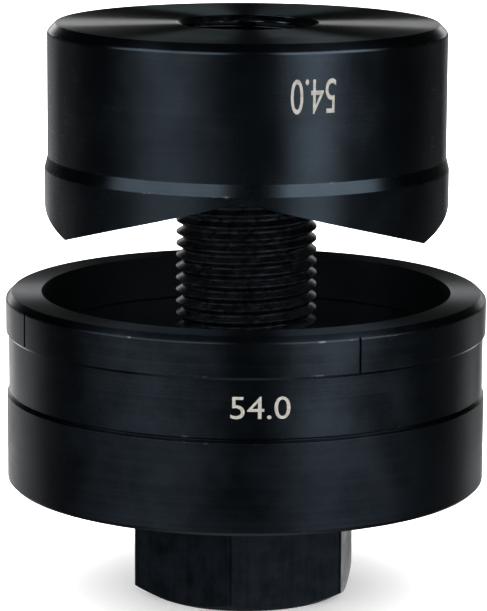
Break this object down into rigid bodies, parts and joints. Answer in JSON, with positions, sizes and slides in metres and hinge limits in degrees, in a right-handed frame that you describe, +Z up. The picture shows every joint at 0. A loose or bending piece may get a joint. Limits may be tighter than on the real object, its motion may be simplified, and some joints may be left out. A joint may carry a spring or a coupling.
{
  "type": "sheet metal hole punch",
  "caption": "Round sheet metal hole punch: a pointed punch is drawn down a hexagon-headed screw, on a ball thrust bearing, through the sheet and into a cupped die.",
  "frame": {"origin": "centre of the hexagon head's lower face, on the screw's axis", "axes": "+Z up along the screw, from its head to the punch; -Y is the side that the picture shows"},
  "size_m": [0.0646, 0.0646, 0.0771],
  "materials": {
    "blackened_steel": "turned tool steel with a black oxide coat, satin and lightly oiled",
    "blackened_screw_steel": "rolled thread and milled hexagon, black oxide, satin",
    "bearing_steel": "ground, bright, oiled",
    "polished_ball_steel": "polished",
    "cage_brass": "stamped, satin",
    "spring_steel": "phosphated, matt"
  },
  "bodies": {
    "die_body": {"die": "blackened_steel", "bearing_upper_race": "bearing_steel"},
    "screw_body": {"draw_screw": "blackened_screw_steel", "bearing_lower_race": "bearing_steel", "retaining_ring": "spring_steel"},
    "cage_body": {"bearing_ball_cage": "cage_brass", "bearing_balls": "polished_ball_steel"},
    "punch_body": {"punch": "blackened_steel"}
  },
  "joints": [
    {"name": "punch_travel", "type": "slide", "parent": "die_body", "child": "punch_body", "axis": [0, 0, 1], "range_m": [-0.0254, 0.00952]},
    {"name": "screw_turn", "type": "hinge", "parent": "die_body", "child": "screw_body", "pos_m": [0, 0, 0], "axis": [0, 0, 1], "range_deg": [-2160.05, 5760.05]},
    {"name": "ball_cage_turn", "type": "hinge", "parent": "die_body", "child": "cage_body", "pos_m": [0, 0, 0.0151], "axis": [0, 0, 1], "range_deg": [-1080.03, 2880.03]}
  ],
  "couplings": [
    {"joint": "screw_turn", "follows": "punch_travel", "rad_per_m": -3957.9},
    {"joint": "ball_cage_turn", "follows": "punch_travel", "rad_per_m": -1979}
  ]
}
